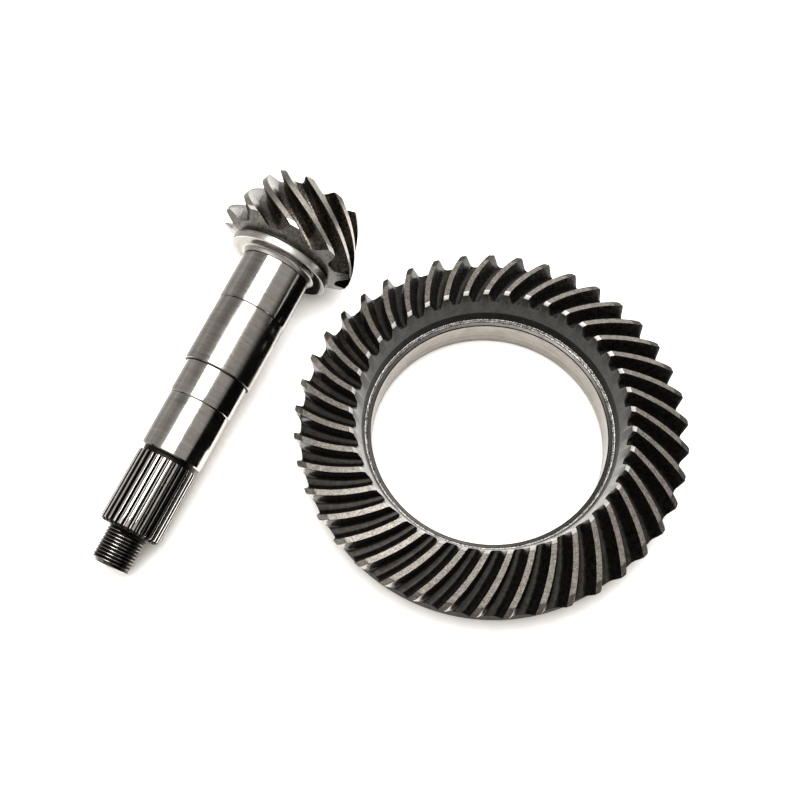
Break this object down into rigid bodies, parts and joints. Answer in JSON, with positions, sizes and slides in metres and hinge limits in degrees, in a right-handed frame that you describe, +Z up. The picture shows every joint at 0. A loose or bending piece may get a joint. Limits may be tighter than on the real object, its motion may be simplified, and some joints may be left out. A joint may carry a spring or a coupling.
{
  "type": "hypoid bevel gear pair",
  "caption": "Matched automotive ring gear and drive pinion with spiral hypoid teeth; turns a drive shaft's motion through a right angle in an axle.",
  "frame": {"origin": "on the bench, below the middle of the box that holds both gears", "axes": "+Z up, along the ring gear's axis; +X from the pinion's side to the ring gear's side; +Y towards the far side, where the pinion's head lies"},
  "size_m": [0.3208, 0.2558, 0.0814],
  "materials": {
    "phosphated_steel": "dark phosphate coat on forged and cut steel, with bare turned lands, bore and chamfers",
    "ground_steel": "ground bearing seats and bright splines, darker phosphated tooth flanks"
  },
  "bodies": {
    "ring": {"ring_gear": "phosphated_steel"},
    "pinion": {"drive_pinion": "ground_steel"}
  },
  "joints": [
    {"name": "pinion_spin", "type": "hinge", "parent": "ring", "child": "pinion", "pos_m": [-0.15151, -0.09675, 0.01398], "axis": [0.4369, 0.8899, 0.1313], "continuous": true}
  ]
}
